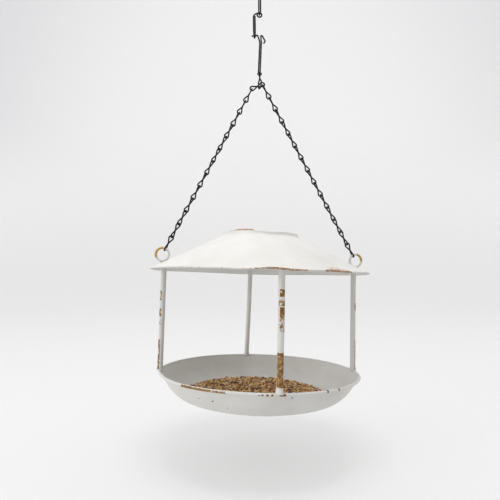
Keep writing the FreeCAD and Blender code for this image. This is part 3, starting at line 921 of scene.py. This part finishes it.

# %% [markdown]
# ## Colours of the grain
# Each kind of grain has a dark and a light tone. The shade that a grain carries picks a place
# between them, so neighbours differ, and a fine mottle varies it along one grain. The
# sunflower seeds have pale stripes. The bed below is darker than any grain but those:
# its colour is painted shade for the gaps between grains.

# %% Grain colours
def grain_finish(name, dark_tone, light_tone, stripe=None):
    """Grain whose shade runs between two colours, with faint mottling along it."""
    finish = Finish(name)
    shade = finish.node("ShaderNodeAttribute", {"attribute_name": "shade"}, output="Fac")
    mottle = finish.noise(1.2, 3)
    share = (shade * 0.75 + mottle * 0.5 - 0.1).step(0.0, 1.0)
    colour = finish.mix(share, dark_tone, light_tone)
    if stripe is not None:
        colour = finish.mix(finish.noise(0.9, 2).step(0.56, 0.62), colour, stripe)
    finish.feed(Base_Color=colour, Roughness=0.55 + mottle * 0.2,
                Normal=finish.bump(mottle, 0.3, 0.3))
    return finish


grain_finish("wheat_colour", (0.17, 0.070, 0.018), (0.82, 0.50, 0.20)).dress(grains["wheat"])
grain_finish("oat_colour", (0.42, 0.22, 0.08), (0.92, 0.66, 0.35)).dress(grains["oat"])
grain_finish("millet_colour", (0.42, 0.22, 0.06), (0.84, 0.56, 0.22)).dress(grains["millet"])
grain_finish("red_colour", (0.12, 0.040, 0.014), (0.36, 0.15, 0.05)).dress(grains["sorghum"])
grain_finish("sunflower_colour", (0.035, 0.018, 0.009), (0.10, 0.055, 0.028),
             (0.34, 0.22, 0.12)).dress(grains["sunflower"])
# Painted shade: the bed is nearly black, the shadow between the grains.
bed_shade_finish = Finish("bed_painted_shade")
bed_tone = bed_shade_finish.noise(3.0, 4)
bed_shade_finish.feed(Base_Color=bed_shade_finish.mix(bed_tone.step(0.35, 0.65), (0.035, 0.015, 0.006),
                                          (0.16, 0.075, 0.026)),
                Roughness=0.85, Normal=bed_shade_finish.bump(bed_tone, 0.6, 1.5))
bed_shade_finish.dress(bed)

# %% [markdown]
# ## Studio
# A pale floor that curves up into a round wall gives a plain background from any side. A
# flat sheet would do for one camera, but the feeder is also looked at from behind and from
# below, so the floor, the curve and the wall are one line turned about the feeder's axis.

# %% Floor
FLOOR_BELOW_HOOK = 575.1
COVE_START = 2600
COVE_RADIUS = 1400
WALL_RADIUS = COVE_START + COVE_RADIUS
WALL_TOP = 4200


def studio_grid():
    """Round floor, a quarter-circle cove and a wall, all turned about the feeder's axis."""
    outline = np.vstack([leg((5, 0), (COVE_START, 0), 20),
                         arc((COVE_START, COVE_RADIUS), COVE_RADIUS, -90, 0, 24),
                         leg((WALL_RADIUS, COVE_RADIUS + 100), (WALL_RADIUS, WALL_TOP), 6)])
    return spun(outline, 96)[0] - [0, 0, FLOOR_BELOW_HOOK]


grid = studio_grid()
rows, columns = grid.shape[:2]
floor_points = np.vstack([grid.reshape(-1, 3), [[0, 0, -FLOOR_BELOW_HOOK]]])
floor_faces = [*grid_faces(rows, columns), *cap_faces(0, columns, rows * columns, True)]
floor = mesh_object("studio_floor", floor_points, floor_faces)
print("studio floor:", len(floor_points), "points")

# %% [markdown]
# ## Paper of the studio
# The background of the photograph is white behind the feeder and greyer towards its edges.
# A lamp on the wall could do that, but a painted fade in the paper is steadier: painted shade
# that darkens it with the distance from a point behind the feeder. The paper glows a little,
# which is painted light, as the paper is no lamp; so the light reaches the feeder from below
# and all round. The half in front of the feeder is a darker grey and glows less, painted shade
# for a darker studio behind the camera.

# %% Floor paper
# Greys of the paper: the front ones are painted shade, and each glow is painted light.
GREYS = {"floor": 0.32, "floor_glow": 0.46, "wall_glow": 0.21, "front": 0.30, "front_glow": 0.12}
WALL_WHITE = (0.735, 0.73, 0.735)
WALL_PAINTED_SHADE = (0.54, 0.53, 0.545)
greys = {place: (level,) * 3 for place, level in GREYS.items()}
floor_finish = Finish("floor_paper_painted_shade_and_glow")
# Painted shade: the paper in front of the feeder is a darker grey and glows less, for a darker
# studio behind the camera.
painted_shade_in_front = ((floor_finish.x * 0.20 - floor_finish.y * 0.98) / WALL_RADIUS).step(0.15, 0.95)
up = floor_finish.z.step(-500, 1200)
side = floor_finish.x / 1000 - 0.55
rise = (floor_finish.z / 1000 + 0.1) * 0.6
# Painted shade: the wall darkens with the distance from a point behind the feeder.
painted_falloff = (side * side + rise * rise).step(1.0, 9.0)
paper = floor_finish.mix(up, greys["floor"], WALL_WHITE)
paper = floor_finish.mix(painted_falloff * up, paper, WALL_PAINTED_SHADE)
# Painted light: the paper glows, though it is no lamp.
glow = floor_finish.mix(up, greys["floor_glow"], greys["wall_glow"])
floor_finish.feed(Base_Color=floor_finish.mix(painted_shade_in_front, paper, greys["front"]), Roughness=0.9,
                  Emission_Color=floor_finish.mix(painted_shade_in_front, glow, greys["front_glow"]),
                  Emission_Strength=1.0)
floor_finish.dress(floor)
print("floor paper dresses:", floor.name)

# %% [markdown]
# ## Light
# The air of the studio is an even white, which gives the soft shadow under the tray. A round
# panel above brightens the roof, and a weaker one on the left gives the rods and the bowl
# their form. The plain Standard view keeps the paint as white as it was mixed.

# %% Light
AIR_STRENGTH = 1.2
world = bpy.data.worlds.new("studio_air")
world.use_nodes = True
world.node_tree.nodes["Background"].inputs["Color"].default_value = (1.0, 1.0, 1.0, 1.0)
world.node_tree.nodes["Background"].inputs["Strength"].default_value = AIR_STRENGTH
bpy.context.scene.world = world
bpy.context.scene.view_settings.view_transform = "Standard"


def soft_panel(name, place, target, size, power):
    """Round light panel that faces a point; places and size in metres, power in watts."""
    light = bpy.data.lights.new(name, "AREA")
    light.shape = "DISK"
    light.size = size
    light.energy = power
    panel = bpy.data.objects.new(name, light)
    bpy.context.scene.collection.objects.link(panel)
    panel.location = place
    aim = np.asarray(target, float) - np.asarray(place, float)
    panel.rotation_euler = Vector(aim).to_track_quat("-Z", "Y").to_euler()
    print(name, "of", power, "watts")


soft_panel("top_panel", (-0.05, -0.45, 1.6), (0, 0, -0.45), 0.8, 16)
soft_panel("left_panel", (-2.0, -0.8, 0.1), (0, 0, -0.43), 1.2, 14)

# %% [markdown]
# ## Camera
# The photograph was taken from just below the roof's rim, a little to the left, with the lens
# tipped up by four degrees. The camera's place is a point in the hanging frame, in metres. Its
# lens follows from the focal length that fits the picture, counted in pixels of its width.

# %% Camera
CAMERA_PLACE = (-0.0887, -0.5506, -0.3658)
CAMERA_PITCH = math.radians(4.0)
CAMERA_HEADING = math.atan2(0.137, 0.990)
SENSOR_WIDTH = 36.0
IMAGE_WIDTH = 500
FOCAL_PIXELS = 452.9
camera_data = bpy.data.cameras.new("camera")
camera_data.sensor_fit = "HORIZONTAL"
camera_data.sensor_width = SENSOR_WIDTH
camera_data.lens = SENSOR_WIDTH * FOCAL_PIXELS / IMAGE_WIDTH
camera = bpy.data.objects.new("camera", camera_data)
bpy.context.scene.collection.objects.link(camera)
camera.location = CAMERA_PLACE
camera.rotation_euler = (math.radians(90.0) + CAMERA_PITCH, 0, -CAMERA_HEADING)
bpy.context.scene.camera = camera
print("lens, mm:", round(camera_data.lens, 2))
